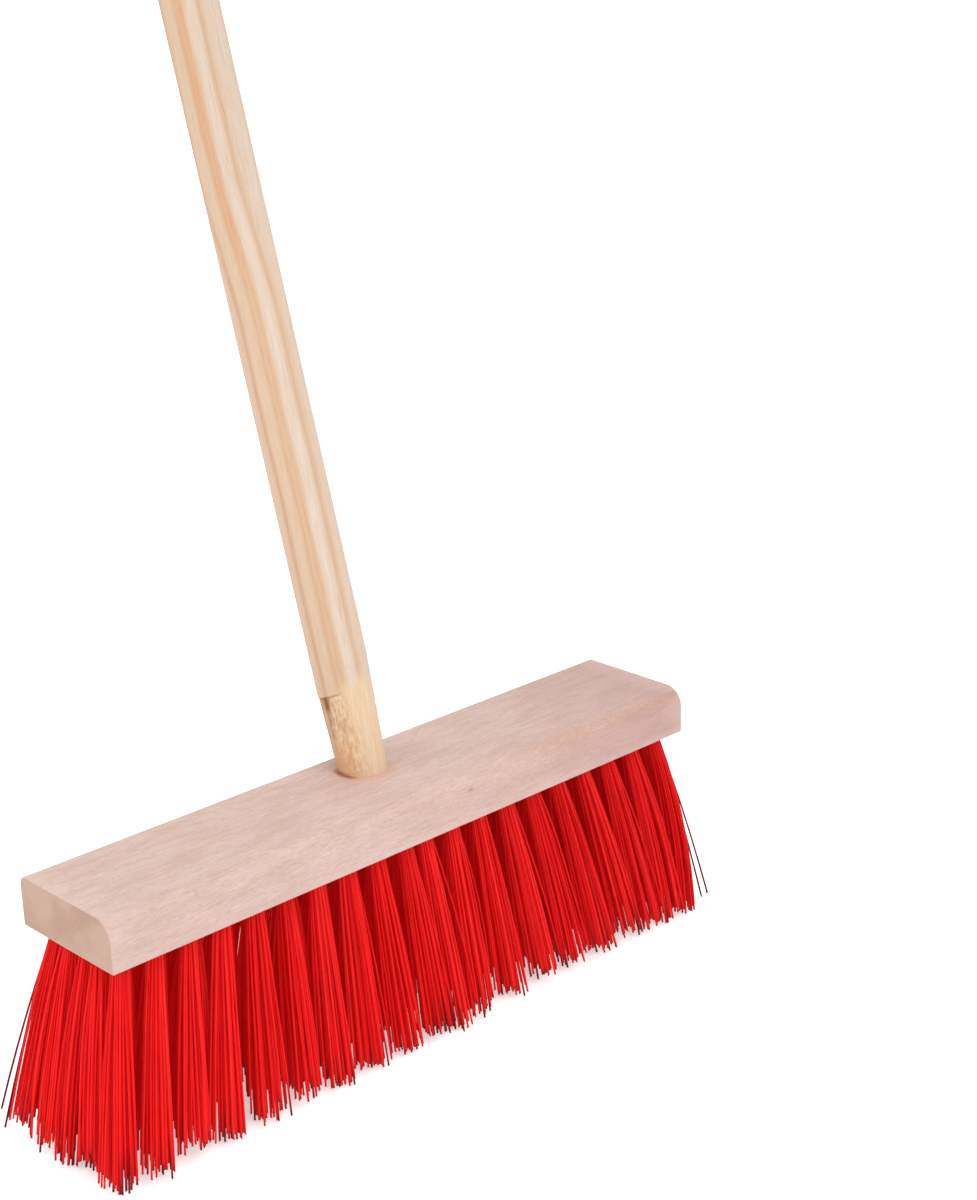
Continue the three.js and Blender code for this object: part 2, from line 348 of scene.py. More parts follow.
def beech_streak(m, col, rest, x, y, z):
    """A broken tan streak along the front rounding that fades towards the middle from +X."""
    rise = m.ease(x, over=(30.0, 140.0), to=(0.12, 1.0))
    fall = m.ease(x, over=(170.0, 181.0), to=(1.0, 0.35))
    up = m.sub(z, TOP_MM - FRONT_R_MM)
    forward = m.mul(m.add(y, HALF_W_MM - FRONT_R_MM), -1.0)
    wander = m.noise(rest, freq=(0.05, 0.15, 0.15))
    angle = m.add(m.math("ARCTAN2", up, forward), m.wobble(wander, size=0.55))
    near_line = m.ease(m.apart(angle, STREAK_ANGLE), over=(0.06, 0.52), to=(1.0, 0.0))
    breaks = m.noise(rest, freq=(0.20, 0.8, 0.8), shift=(2, 5, 8), detail=4.0, rough=0.65)
    broken = m.ease(breaks, over=(0.40, 0.60), to=(0.15, 1.0))
    front_half = m.line(y, over=(-24.5, -22.5), to=(1.0, 0.0))
    streak = m.mul(m.mul(rise, fall), m.mul(near_line, broken, front_half))
    return m.tint(col, srgb(206, 160, 118), mask=streak, amount=0.60)


def beech_end_grain(m, rest, y, z, ring, distance, angle):
    """Colour of the end faces: darker, with ring arcs, rays and pores."""
    ray_place = m.combine(0.0, angle, m.mul(distance, 0.01))
    rays = m.noise(ray_place, freq=(1, 90, 30), detail=2.0)
    pores = m.noise(rest, freq=(1.0, 4.5, 4.5), detail=2.0, rough=0.7)
    ring_arc = m.ease(m.apart(ring, 0.5), over=(0.25, 0.5))
    patches = m.noise(rest, freq=(0.02, 0.045, 0.045), shift=(2, 7, 1), detail=2.0)
    col = m.mix(m.ease(patches, over=(0.38, 0.62)), srgb(206, 173, 152), srgb(194, 160, 137))
    # a darker wedge, lying aslant
    from_under = m.sub(z, UNDER_MM + WEDGE_ABOVE_UNDER_MM)
    aslant = m.add(m.mul(y, WEDGE_SLOPE_Y), m.mul(from_under, WEDGE_SLOPE_Z))
    wander = m.noise(rest, freq=(0.02, 0.12, 0.12), shift=(3, 1, 9), detail=2.0)
    aslant = m.add(aslant, m.wobble(wander, size=9.0))
    wedge = m.mul(m.ease(aslant, over=(-7.0, -3.0)),
                  m.ease(aslant, over=(3.0, 9.0), to=(1.0, 0.0)))
    col = m.tint(col, srgb(188, 149, 130), mask=wedge, amount=0.45)
    col = m.tint(col, srgb(188, 150, 126), mask=ring_arc, amount=0.16)
    col = m.tint(col, srgb(218, 186, 164), m.line(rays, over=(0.45, 0.70), to=(0.0, 0.22)))
    return m.tint(col, srgb(180, 142, 120), m.line(pores, over=(0.50, 0.75), to=(0.0, 0.22)))


def beech_mouth_halo_and_shadow(m, col, rest, x, y, z):
    """A warm halo and a painted shadow of the gap round the socket's mouth, darkest on the -X side.
    """
    across = m.mul(m.sub(y, STICK_Y_MM), SQUASH_Y)
    radius = m.hypot(x, across)
    ragged = m.noise(rest, freq=(0.4, 0.4, 0.4))
    outwards = m.add(m.sub(radius, MOUTH_MARK_R_MM), m.wobble(ragged, size=1.6))
    left = m.ease(m.math("DIVIDE", x, radius), over=(-0.74, -0.97))
    # weights of x and y that point the halo to the front and left
    forward = m.weighted((x, 0.55), (across, 0.85))
    front_left = m.ease(m.math("DIVIDE", forward, radius), over=(0.5, -0.6))
    on_top = m.line(z, over=(TOP_MM - 3.0, TOP_MM - 1.0))
    # painted shadow of the gap between stick and block, on the -X side
    gap_shadow = m.mul(m.ease(outwards, over=(1.2, 4.4), to=(1.0, 0.0)), m.mul(left, on_top))
    halo = m.mul(m.ease(outwards, over=(0.5, 10.5), to=(1.0, 0.0)), m.mul(front_left, on_top))
    col = m.tint(col, srgb(226, 176, 140), mask=halo, amount=0.52)
    return m.tint(col, srgb(160, 96, 70), mask=gap_shadow, amount=0.90)


def beech_edges(m, col, x, y, z, end):
    """Paler edges; painted shade on the back top edge, at the +X end and in the holes."""
    col = m.tint(col, srgb(236, 212, 202), mask=m.attribute("edge"), amount=0.22)
    # painted shade on the back top edge and on the long edges near the +X end, which face away from
    # the light
    corner = HALF_W_MM + TOP_MM
    back_top = m.mul(m.ease(m.add(y, z), over=(corner - 3.9, corner - 2.9)),
                     m.line(z, over=(TOP_MM - 3.4, TOP_MM - 2.4)))
    right_end = m.ease(x, over=(HALF_L_MM - 1.5, HALF_L_MM - 0.3))
    shaded_far_edge = m.math("MAXIMUM", back_top, m.mul(right_end, m.sub(1.0, end)))
    col = m.tint(col, srgb(176, 146, 140), mask=shaded_far_edge, amount=0.26)
    # painted shade inside the holes and the socket
    return m.tint(col, srgb(176, 128, 100), mask=m.attribute("bore_shade"), amount=0.55)


def beech_material():
    m = Mat("beech")
    rest = m.attribute("rest", "Vector")
    x, y, z = m.xyz(rest)
    end = m.attribute("end_grain")
    ring, distance, angle = beech_rings(m, rest, x, y, z)

    # long fibres and short flecks, both lying along the block
    fibre = m.noise(rest, freq=(0.11, 1.7, 1.7), detail=4.0, rough=0.66)
    fibre_fine = m.noise(rest, freq=(0.36, 4.6, 4.6), rough=0.6)
    fleck_noise = m.noise(rest, freq=(0.42, 1.75, 1.75), shift=(3.1, 0, 0), detail=2.0)
    fleck = m.ease(fleck_noise, over=(0.60, 0.70))

    col = beech_long_grain(m, rest, ring, fibre, fibre_fine, fleck)
    col = beech_knot(m, col, rest, x, y, z)
    col = beech_streak(m, col, rest, x, y, z)
    col = m.mix(end, col, beech_end_grain(m, rest, y, z, ring, distance, angle))

    # the wood darkens towards +X, and a little more on the front face
    col = m.tint(col, srgb(176, 130, 124), mask=m.ease(x, over=(40.0, 178.0)), amount=0.40)
    front = m.mul(m.ease(x, over=(-60.0, 150.0)), m.ease(y, over=(-34.0, -31.0), to=(1.0, 0.0)))
    col = m.scaled(col, (0.955, 0.925, 0.935), mask=front)

    col = beech_mouth_halo_and_shadow(m, col, rest, x, y, z)
    col = beech_edges(m, col, x, y, z, end)
    col = m.scaled(col, (0.645, 0.635, 0.642))

    roughness = m.weighted((fibre, 0.16), (fleck, -0.08), (end, 0.12), base=0.56)
    saw = m.noise(rest, freq=(0.5, 0.25, 3.0), detail=2.0)
    height = m.weighted((fibre, 0.6), (fibre_fine, 0.5), (fleck, -0.35), (m.mul(end, saw), 1.6))
    m.surface(col, roughness, specular=0.35,
              normal=m.bump(height, distance=0.00012, strength=0.7))
    return m.material


# ---------------------------------------------------------------- pine, for the stick
# growth bands across the stick: (place, sRGB colour); 0 is the TURN_SIDE edge, 1 the opposite one
PINE_BANDS = [
    (-0.60, (232, 206, 182)), (-0.45, (218, 176, 140)), (-0.40, (232, 206, 184)),
    (-0.22, (230, 202, 176)), (-0.16, (216, 174, 140)), (-0.12, (231, 204, 180)),
    (0.00, (229, 199, 174)), (0.13, (232, 197, 169)), (0.165, (222, 179, 145)),
    (0.19, (211, 165, 127)), (0.215, (225, 184, 150)), (0.26, (234, 204, 177)),
    (0.37, (234, 203, 175)), (0.42, (226, 188, 153)), (0.45, (221, 179, 143)),
    (0.48, (228, 192, 160)), (0.535, (223, 183, 147)), (0.58, (229, 194, 164)),
    (0.625, (236, 214, 197)), (0.70, (238, 221, 207)), (0.775, (235, 210, 192)),
    (0.84, (217, 177, 142)), (0.87, (226, 190, 160)), (0.93, (231, 206, 188)),
    (1.02, (232, 212, 197)), (1.13, (232, 213, 197)), (1.18, (222, 184, 152)),
    (1.22, (232, 206, 186)), (1.40, (220, 180, 146)), (1.60, (234, 208, 190)),
]
RESIN_BAND = 0.505               # place of the resinous band
TEAR_LINE = 0.150                # place of the brown line beside the torn wood


def noise_along(m, s, freq, offsets, detail=2.0, rough=0.5):
    """Noise that varies only along the stick; offsets pick a different pattern."""
    return m.noise(m.combine(*offsets, m.mul(s, freq)), detail=detail, rough=rough)


def pine_band_place(m, rest, s, across):
    """Place in the growth bands: across the stick, swerving sideways part of the way up."""
    waves = noise_along(m, s, freq=0.010, offsets=(0.0, 5.0))
    waves_short = m.noise(rest, freq=(0.10, 0.10, 0.016), shift=(4, 4, 4))
    ripple = m.noise(rest, freq=(0.45, 0.45, 0.06), shift=(1, 6, 2), detail=2.0)
    drift = noise_along(m, s, freq=0.0022, offsets=(7.0, 1.0))
    place = m.add(across, m.ease(s, over=(218.0, 292.0), to=(0.0, 0.15)))
    place = m.add(place, m.wobble(waves, size=0.05))
    place = m.add(place, m.wobble(waves_short, size=0.055))
    place = m.add(place, m.wobble(ripple, size=0.024))
    return m.add(place, m.wobble(drift, size=m.ease(s, over=(380.0, 640.0), to=(0.0, 1.3))))


def pine_shaft(m, rest, s, across, place, ring, fibre, fibre_fine):
    """Colour of the shaft above the taper."""
    first, last = PINE_BANDS[0][0], PINE_BANDS[-1][0]
    col = m.ramp(ring, [((p - first) / (last - first), srgb(*c)) for p, c in PINE_BANDS])
    col = m.mix(m.ease(s, over=(180.0, 380.0)),
                m.scaled(col, (0.955, 0.955, 0.965)), m.scaled(col, (0.90, 0.893, 0.885)))
    # one band is resinous, most of all above the swerve
    patchy = noise_along(m, s, freq=0.02, offsets=(3.0, 0.0))
    strength = m.mul(m.ease(s, over=(225.0, 275.0), to=(0.12, 1.0)),
                     m.ease(patchy, over=(0.35, 0.60), to=(0.62, 1.0)))
    near_band = m.ease(m.apart(place, RESIN_BAND), over=(0.035, 0.105), to=(1.0, 0.0))
    band = m.mul(near_band, strength)
    col = m.tint(col, srgb(226, 158, 114), mask=band, amount=0.62)
    mottle = m.noise(rest, freq=(0.5, 0.5, 0.06), shift=(3, 3, 3), rough=0.55)
    col = m.tint(col, srgb(216, 192, 154), m.line(mottle, over=(0.42, 0.66), to=(0.0, 0.34)))
    col = m.tint(col, srgb(214, 172, 140), m.line(fibre, over=(0.44, 0.70), to=(0.0, 0.34)))
    col = m.tint(col, srgb(202, 158, 126), m.line(fibre_fine, over=(0.50, 0.75), to=(0.0, 0.30)))
    col = m.tint(col, srgb(244, 228, 210), m.line(fibre_fine, over=(0.50, 0.30), to=(0.0, 0.24)))
    resin = m.noise(rest, freq=(1.7, 1.7, 0.055), shift=(2.0, 8.0, 1.0), detail=1.0)
    col = m.tint(col, srgb(190, 138, 94), mask=m.ease(resin, over=(0.665, 0.72)), amount=0.34)
    # small marks, mostly away from TURN_SIDE
    nick = m.noise(rest, freq=(2.2, 2.2, 0.30), shift=(9.0, 1.0, 4.0), detail=2.0, rough=0.6)
    nick = m.mul(m.ease(nick, over=(0.66, 0.74)),
                 m.ease(across, over=(0.35, 0.75), to=(0.35, 1.0)))
    col = m.tint(col, srgb(184, 142, 98), mask=nick, amount=0.38)
    # painted shade, in a yellower brown, along both side lines of the stick
    limb_shade = m.math("MAXIMUM", m.ease(across, over=(0.075, 0.0)),
                       m.mul(m.ease(across, over=(0.95, 1.0)), 0.5))
    return m.tint(col, srgb(196, 158, 128), mask=limb_shade, amount=0.42)


def pine_taper(m, rest, s, across, fibre, tear, torn):
    """Colour of the turned taper: yellower, with torn fibres on one side."""
    col = m.mix(m.line(fibre, over=(0.35, 0.66)), srgb(241, 214, 184), srgb(234, 198, 160))
    streaks = m.noise(rest, freq=(0.50, 0.50, 0.022), shift=(7.0, 2.0, 7.0), detail=2.0)
    col = m.tint(col, srgb(222, 188, 140), m.ease(streaks, over=(0.45, 0.62), to=(0.0, 0.38)))
    # an orange cast, low down towards TURN_SIDE
    orange = m.mul(m.ease(s, over=(6.0, 30.0), to=(1.0, 0.12)),
                   m.ease(across, over=(0.30, 0.62), to=(1.0, 0.0)))
    col = m.tint(col, srgb(230, 170, 110), mask=orange, amount=0.70)
    col = m.tint(col, srgb(232, 198, 184), m.ease(across, over=(0.84, 0.98), to=(0.0, 0.30)))
    # painted shade, brown, along the TURN_SIDE edge of the taper
    taper_side_shade = m.mul(m.ease(across, over=(0.20, 0.04)), m.ease(s, over=(2.0, 30.0), to=(0.55, 1.0)))
    col = m.tint(col, srgb(178, 120, 84), mask=taper_side_shade, amount=0.60)
    # torn fibres: dark hollows and pale ridges, both stronger higher up
    dark = m.mul(m.ease(tear, over=(0.51, 0.60)), m.add(0.10, torn))
    dark = m.mul(dark, m.line(s, over=(4.0, 30.0), to=(0.40, 0.62)))
    col = m.tint(col, srgb(198, 134, 78), dark)
    pale = m.mul(m.ease(tear, over=(0.47, 0.38)), torn)
    pale = m.mul(pale, m.line(s, over=(4.0, 30.0), to=(0.35, 0.85)))
    col = m.tint(col, srgb(255, 238, 210), pale)
    # a broken brown line beside the torn wood, towards TURN_SIDE
    wander = noise_along(m, s, freq=0.16, offsets=(2.0, 9.0), detail=3.0, rough=0.6)
    from_line = m.add(m.sub(across, TEAR_LINE), m.wobble(wander, size=0.09))
    line = m.ease(m.math("ABSOLUTE", from_line), over=(0.006, 0.034), to=(1.0, 0.0))
    line = m.mul(line, m.ease(wander, over=(0.62, 0.44), to=(0.25, 1.0)),
                 m.ease(s, over=(5.0, 22.0), to=(0.15, 1.0)))
    col = m.tint(col, srgb(158, 104, 58), mask=line, amount=0.58)
    return m.scaled(col, (1.03, 1.04, 1.06))


def pine_material():
    """rest holds two places across the stick, then s, the distance up its axis."""
    m = Mat("pine")
    rest = m.attribute("rest", "Vector")
    right, back, s = m.xyz(rest)
    turned = m.attribute("turned")
    torn = m.attribute("torn")

    # nearly flat ring layers, counted from TURN_SIDE (0) to the opposite side (1)
    towards = m.weighted((right, math.cos(TURN_SIDE)), (back, math.sin(TURN_SIDE)))
    radius = STICK_R / MM
    across = m.math("DIVIDE", m.sub(radius, towards), 2 * radius)
    place = pine_band_place(m, rest, s, across)
    ring = m.line(place, over=(PINE_BANDS[0][0], PINE_BANDS[-1][0]))
    fibre = m.noise(rest, freq=(1.8, 1.8, 0.040), detail=4.0, rough=0.6)
    fibre_fine = m.noise(rest, freq=(6.0, 6.0, 0.12), rough=0.6)
    tear = m.noise(rest, freq=(0.80, 0.80, 0.20), shift=(1.0, 2.0, 7.0), detail=4.0, rough=0.68)

    shaft = pine_shaft(m, rest, s, across, place, ring, fibre, fibre_fine)
    taper = pine_taper(m, rest, s, across, fibre, tear, torn)
    col = m.tint(shaft, taper, mask=turned, amount=0.86)
    # painted shade under the shoulder and at the mouth, and the dark gouge, from the shade
    # attribute
    col = m.tint(col, srgb(150, 88, 38), mask=m.attribute("shade"), amount=0.95)
    col = m.scaled(col, (0.655, 0.650, 0.640))

    roughness = m.weighted((fibre, 0.14), (ring, -0.06), (turned, 0.16), base=0.50)
    tear_depth = m.weighted((torn, 2.6), base=0.7)
    height = m.weighted((fibre, 0.6), (ring, 0.20), (fibre_fine, 0.4),
                        (m.mul(turned, tear), tear_depth))
    m.surface(col, roughness, specular=0.3,
              normal=m.bump(height, distance=0.00018, strength=0.8))
    return m.material


# ---------------------------------------------------------------- red filament
def bristle_material():
    """Red plastic that lets light through; its colours are linear."""
    m = Mat("red_filament")
    fil = m.attribute("fil")
    rest = m.attribute("rest", "Vector")
    col = m.ramp(fil, [
        (0.00, (0.84, 0.008, 0.009)),
        (0.35, (0.93, 0.013, 0.013)),
        (0.70, (0.97, 0.020, 0.018)),
        (1.00, (0.99, 0.036, 0.030)),
    ])
    # slow drift along each filament, and a paler, scuffed length near the tip
    drift = m.noise(rest, freq=(0.20, 0.20, 0.05), detail=2.0)
    col = m.tint(col, (0.80, 0.005, 0.007), m.line(drift, over=(0.40, 0.66), to=(0.0, 0.35)))
    patches = m.noise(rest, freq=(1.6, 1.6, 0.5), rough=0.6)
    near_tip = m.ease(m.attribute("along"), over=(0.80, 1.0))
    scuff = m.mul(near_tip, m.line(patches, over=(0.40, 0.70)))
    col = m.tint(col, (0.90, 0.07, 0.05), mask=scuff, amount=0.18)
    col = m.tint(col, (0.085, 0.006, 0.014), mask=m.attribute("cut"), amount=0.92)
    # a shade deeper towards +X
    x = m.xyz(rest)[0]
    col = m.scaled(col, (0.93, 0.84, 0.88), mask=m.ease(x, over=(-60.0, 170.0)))
    # stands in for light scattered among the filaments
    m.glow(m.scaled(col, (0.90, 0.90, 0.90)), strength=0.12)
    col = m.scaled(col, (0.875, 0.78, 0.78))
    roughness = m.weighted((scuff, 0.22), (fil, 0.08), base=0.44)
    draw_lines = m.noise(rest, freq=(3.0, 3.0, 0.12), detail=2.0)
    height = m.weighted((scuff, 0.6), base=draw_lines)
    m.surface(col, roughness, specular=0.16,
              normal=m.bump(height, distance=0.00006, strength=0.5))
    through = m.node("ShaderNodeBsdfTranslucent")
    m.put(through.inputs["Color"], col)
    m.mixed_surface(factor=0.42, shader=through)
    return m.material


BEECH = beech_material()
PINE = pine_material()
RED = bristle_material()


# ---------------------------------------------------------------- mesh helpers
def mesh_object(name, verts, faces, smooth):
    """smooth holds one flag for each face, or one for all of them."""
    me = bpy.data.meshes.new(name)
    me.from_pydata([tuple(v) for v in verts], [], [tuple(f) for f in faces])
    me.validate()
    me.update()
    flags = [smooth] * len(me.polygons) if isinstance(smooth, bool) else smooth
    me.polygons.foreach_set("use_smooth", flags)
    ob = bpy.data.objects.new(name, me)
    bpy.context.scene.collection.objects.link(ob)
    return ob


def solid_object(name, verts, faces):
    """A smooth mesh object with its faces turned outwards."""
    ob = mesh_object(name, verts, faces, smooth=True)
    bm = bmesh.new()
    bm.from_mesh(ob.data)
    bmesh.ops.recalc_face_normals(bm, faces=bm.faces)
    bm.to_mesh(ob.data)
    bm.free()
    return ob


def set_attribute(me, name, values):
    """A point attribute: floats, or vectors if values has three columns."""
    values = np.asarray(values, np.float32)
    kind, field = ("FLOAT_VECTOR", "vector") if values.ndim == 2 else ("FLOAT", "value")
    me.attributes.new(name, kind, "POINT").data.foreach_set(field, values.ravel())


def ring_prism(rings):
    """A closed solid through rings of equal point count."""
    n = len(rings[0])
    verts = [p for r in rings for p in r]
    faces = []
    for j in range(len(rings) - 1):
        for i in range(n):
            a, b = j * n + i, j * n + (i + 1) % n
            faces.append((a, b, b + n, a + n))
    faces.append(tuple(reversed(range(n))))
    last = (len(rings) - 1) * n
    faces.append(tuple(last + i for i in range(n)))
    return verts, faces


# ---------------------------------------------------------------- tuft layout, in mm
ROW_PITCH, PITCH = 11.25, 18.3
MID_HALF = 6.0                        # first tuft of rows 1, 3 and 5, from the middle
STAGGER = 15.15                       # first tuft of rows 2 and 4, from the middle
SPLAY_X, SPLAY_Y = 1.12, 1.64         # place of the tips over place of the root
TIP_X, TIP_Y = 9.95, 8.95             # half size of an opened tuft at its tips
END_ROOT, END_TIP, END_TIP_X = 172.5, 189.5, 8.5    # the end tufts
MIDDLE_TIP, MIDDLE_TIP_X = 8.6, 8.3   # the straight pairs in the middle of rows 1 and 5


def tuft(x, y, **changes):
    """Root x, y; tip centre tip_x, tip_y; half size at the tips half_x, half_y."""
    values = dict(x=x, y=y, tip_x=x * SPLAY_X, tip_y=y * SPLAY_Y,
                  half_x=TIP_X, half_y=TIP_Y, straight=False)
    return SimpleNamespace(**{**values, **changes})


def end_tuft(x, y):
    return tuft(x, y, tip_x=math.copysign(END_TIP, x), half_x=END_TIP_X)


def outer_tuft(x, y):
    if abs(x) < PITCH / 2:
        return tuft(x, y, tip_x=math.copysign(MIDDLE_TIP, x), half_x=MIDDLE_TIP_X, straight=True)
    if abs(x) > END_ROOT - PITCH / 2:
        return end_tuft(x, y)
    return tuft(x, y)


def at_row_end(x):
    return abs(x) > END_ROOT - 5


def inner_tuft(x, y):
    return end_tuft(x, y) if at_row_end(x) else tuft(x, y)


def along_row(start, steps, side):
    return sorted(side * (start + PITCH * k) for k in steps)


def tuft_pieces():
    """(piece name, row, tufts); row 1 is the front one, row 5 the back one."""
    pieces = []
    outer_x = along_row(MID_HALF, range(10), -1) + along_row(MID_HALF, range(10), 1)
    for label, row, y in (("front", 1, -2 * ROW_PITCH), ("back", 5, 2 * ROW_PITCH)):
        for i, x in enumerate(outer_x):
            pieces.append((f"{label}_tuft_{i + 1:02d}", row, [outer_tuft(x, y)]))

    row_2 = (
        ("left_end", [-END_ROOT] + along_row(STAGGER, (5, 6, 7, 8), -1)),
        ("left", along_row(STAGGER, (1, 2, 3, 4), -1)),
        ("middle", [-STAGGER, 0, STAGGER]),
        ("right", along_row(STAGGER, (1, 2, 3, 4), 1)),
        ("right_end", along_row(STAGGER, (5, 6, 7, 8), 1) + [END_ROOT]),
    )
    for label, places in row_2:
        tufts = [inner_tuft(x, -ROW_PITCH) for x in places]
        if label == "middle":
            tufts[1] = tuft(0, -ROW_PITCH, tip_y=-11.0, half_x=8.7, half_y=10.5)
        pieces.append((f"inner_row_2_{label}", 2, tufts))

    for side, label in ((-1, "left"), (1, "right")):
        for steps, where in (((0, 1, 2), "inner"), ((3, 4, 5), "middle"), ((6, 7, 8), "end")):
            last = [side * END_ROOT] if where == "end" else []
            row_3 = along_row(MID_HALF + PITCH, steps, side)
            row_4 = along_row(STAGGER, steps, side) + last
            for row, y, places in ((3, 0.0, row_3), (4, ROW_PITCH, row_4)):
                tufts = [inner_tuft(x, y) for x in places]
                pieces.append((f"inner_row_{row}_{label}_{where}", row, tufts))
    return pieces


PIECES = tuft_pieces()


def drill_slope(t):
    """Sideways travel, per mm upwards, of a tuft's hole."""
    if t.straight:
        return np.zeros(2)
    return np.array([(t.x - t.tip_x) / UNDER_MM, (t.y - t.tip_y) / UNDER_MM])


# ---------------------------------------------------------------- head block
HOLE_R, HOLE_MOUTH_R, HOLE_POINT_R = 4.0, 4.35, 0.4    # mm
HOLE_DEPTH, HOLE_POINT = 9.0, 1.5                      # mm
HOLE_SIDES = 24
# bristle hole cutter, in mm: height above the underside, height used for the lean, radius
HOLE_LEVELS = [
    (-3.0, -3.0, HOLE_MOUTH_R),
    (-0.01, 0.0, HOLE_MOUTH_R),
    (0.35, 0.35, HOLE_R),
    (HOLE_DEPTH, HOLE_DEPTH, HOLE_R),
    (HOLE_DEPTH + HOLE_POINT, HOLE_DEPTH + HOLE_POINT, HOLE_POINT_R),
]
SOCKET_SIDES = 96
SOCKET_GAP = 0.03                                      # mm, clearance round the stick
CHIP_DEPTH, CHIP_SIDE, CHIP_WIDTH = 0.34, math.radians(180), 0.30    # mm, angle, radians
# socket cutter, in mm: height above the top face (None is the socket's bottom),
# depth of the chip on the -X side, size of the small chips, extra widening
SOCKET_LEVELS = [
    (None, 0.0, 0.0, 0.0),
    (-0.8, CHIP_DEPTH, 0.0, 0.0),
    (-0.30, CHIP_DEPTH, 0.03, 0.0),
    (0.02, CHIP_DEPTH, 0.03, 0.02),
    (3, CHIP_DEPTH, 0.03, 0.02),
]


def offset_convex(outline, inset):
    """A convex outline moved inwards by inset, one point for each point."""
    points = np.array(outline, float)
    moved = []
    for i in range(len(points)):
        before, here, after = points[i - 1], points[i], points[(i + 1) % len(points)]
        edge_1, edge_2 = here - before, after - here
        normal_1 = np.array([-edge_1[1], edge_1[0]]) / np.linalg.norm(edge_1)
        normal_2 = np.array([-edge_2[1], edge_2[0]]) / np.linalg.norm(edge_2)
        mitre = normal_1 + normal_2
        mitre = mitre / max(1e-9, mitre @ mitre) * 2
        moved.append(here + mitre * inset)
    return moved


def block_outline():
    """The block's section (y, z) in mm, from the front lower edge by way of the back."""
    w, lo, hi = HALF_W_MM, UNDER_MM, TOP_MM
    low_r, back_r, front_r = LOWER_R_MM, BACK_R_MM, FRONT_R_MM
    points = []

    def arc(centre_y, centre_z, radius, start, end, n):
        for i in range(n + 1):
            a = math.radians(start + (end - start) * i / n)
            points.append((centre_y + radius * math.cos(a), centre_z + radius * math.sin(a)))

    arc(-w + low_r, lo + low_r, low_r, 180, 270, 3)
    for i in range(1, 12):
        points.append((-w + low_r + (2 * w - 2 * low_r) * i / 12, lo))
    arc(w - low_r, lo + low_r, low_r, 270, 360, 3)
    for i in range(1, 4):
        points.append((w, lo + low_r + (hi - lo - (low_r + back_r)) * i / 4))
    arc(w - back_r, hi - back_r, back_r, 0, 90, 8)
    for i in range(1, 10):
        points.append((w - back_r - (2 * w - (back_r + front_r)) * i / 10, hi))
    arc(-w + front_r, hi - front_r, front_r, 90, 180, 14)
    for i in range(1, 3):
        points.append((-w, hi - front_r - (hi - lo - (front_r + low_r)) * i / 3))
    return points


def stick_point(s, radius, angle):
    """A point s up the stick's axis from the top face; angle 0 is +X, 90 degrees the back."""
    outwards = Vector((1, 0, 0)) * math.cos(angle) + STICK_BACK * math.sin(angle)
    return STICK_FOOT + STICK_AXIS * s + outwards * radius


def cone_radius(s, angle):
    """The turned cone, a little off the stick's own axis."""
    offset = TURN_OFF * (1 - 0.45 * max(0.0, s) / TAPER_L)
    return MOUTH_R + TAPER_SLOPE * s + offset * math.cos(angle - TURN_SIDE)


def smooth_step(x, start, end):
    t = min(1.0, max(0.0, (x - start) / (end - start)))
    return t * t * (3 - 2 * t)


def round_peak(angle, centre, width):
    """1 at the centre angle, falling off on both sides."""
    apart = (angle - centre + math.pi) % (2 * math.pi) - math.pi
    return math.exp(-(apart / width) ** 2)


def block_solid():
    """The undrilled block."""
    outline = block_outline()
    # (x, inset): the outline shrinks by the easing at the end face
    ends = []
    for i in range(4):
        a = math.radians(90 * i / 3)
        ends.append((-HALF_L_MM + END_EASE_MM * (1 - math.cos(a)), END_EASE_MM * (1 - math.sin(a))))
    length = 2 * HALF_L_MM - 2 * END_EASE_MM
    middle = [(-HALF_L_MM + END_EASE_MM + length * i / 24, 0.0) for i in range(1, 24)]
    rings = []
    for x, inset in ends + middle + [(-x, inset) for x, inset in reversed(ends)]:
        ring = offset_convex(outline, inset) if inset > 1e-6 else outline
        rings.append([(x * MM, y * MM, z * MM) for y, z in ring])
    return solid_object("head_block_beech", *ring_prism(rings))


def hole_rings(t):
    """Cutter for one bristle hole, with a drill-point bottom."""
    slope_x, slope_y = drill_slope(t)
    rings = []
    for up, lean_up, radius in HOLE_LEVELS:
        rings.append([
            ((t.x + slope_x * lean_up + radius * math.cos(a)) * MM,
             (t.y + slope_y * lean_up + radius * math.sin(a)) * MM,
             UNDER + up * MM)
            for a in np.linspace(0, 2 * math.pi, HOLE_SIDES, endpoint=False)
        ])
    return rings


def socket_rings():
    """Cutter for the tapered socket, with a chipped mouth."""
    chips = np.random.default_rng(11).normal(0, 1.0, SOCKET_SIDES)
    for _ in range(2):
        chips = (chips + np.roll(chips, 1) + np.roll(chips, -1)) / 3
    rings = []
    for level, chip, small_chips, widening in SOCKET_LEVELS:
        ring = []
        for i in range(SOCKET_SIDES):
            a = 2 * math.pi * i / SOCKET_SIDES
            if level is None:
                s = -SOCKET - 0.3 * MM
            else:
                s = (level * MM + MOUTH_R * math.sin(a) * math.sin(TILT)) / math.cos(TILT)
            gap = SOCKET_GAP + chip * round_peak(a, CHIP_SIDE, CHIP_WIDTH)
            gap += small_chips * max(0.0, chips[i]) + widening
            ring.append(tuple(stick_point(s, cone_radius(s, a) + gap * MM, a)))
        rings.append(ring)
    return rings


